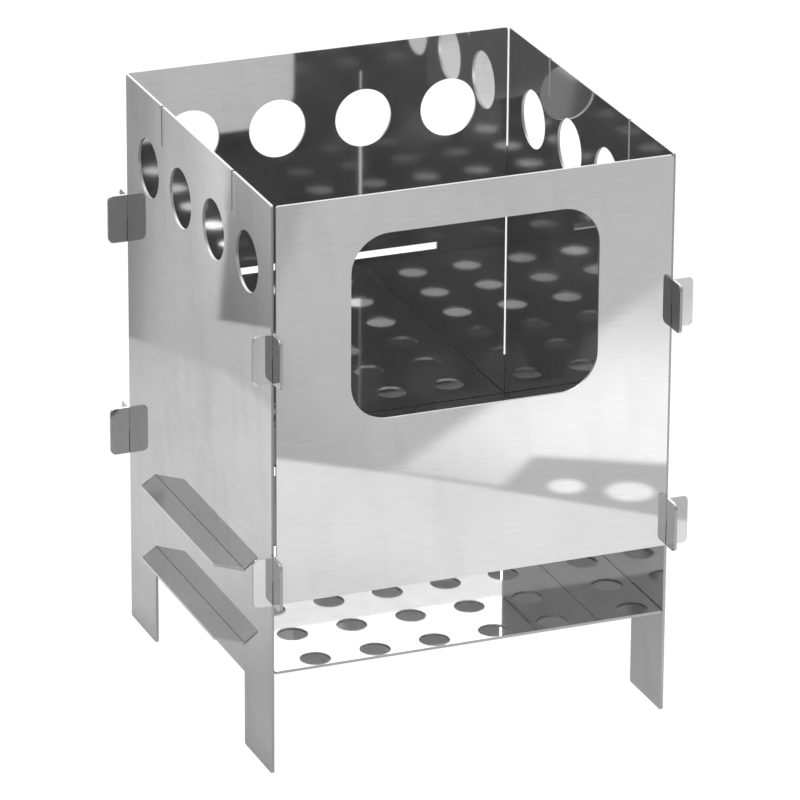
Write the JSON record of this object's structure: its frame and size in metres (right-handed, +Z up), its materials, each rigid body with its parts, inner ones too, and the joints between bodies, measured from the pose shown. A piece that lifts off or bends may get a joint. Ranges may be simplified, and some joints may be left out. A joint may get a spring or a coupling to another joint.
{
  "type": "hobo stove",
  "caption": "Square flat-pack wood stove of slotted steel sheets: side panels with legs, lift-off front and back panels, perforated grate and solid ash plate.",
  "frame": {"origin": "centre of the overall box, on the ground under the feet", "axes": "+Z up; +X to the right as seen from the front; the panel with the fuel window faces -Y"},
  "size_m": [0.1666, 0.1644, 0.212],
  "materials": {
    "wall_steel": "fine brushed stainless sheet, bright edges",
    "plate_steel": "fine brushed stainless sheet, near mirror"
  },
  "bodies": {
    "stove_frame": {"left_panel": "wall_steel", "right_panel": "wall_steel", "fire_grate": "plate_steel", "ash_plate": "plate_steel"},
    "front": {"front_panel": "wall_steel"},
    "back": {"back_panel": "wall_steel"}
  },
  "joints": [
    {"name": "front_lift", "type": "slide", "parent": "stove_frame", "child": "front", "axis": [0, 0, 1], "range_m": [0, 0.064]},
    {"name": "back_lift", "type": "slide", "parent": "stove_frame", "child": "back", "axis": [0, 0, 1], "range_m": [0, 0.064]}
  ]
}
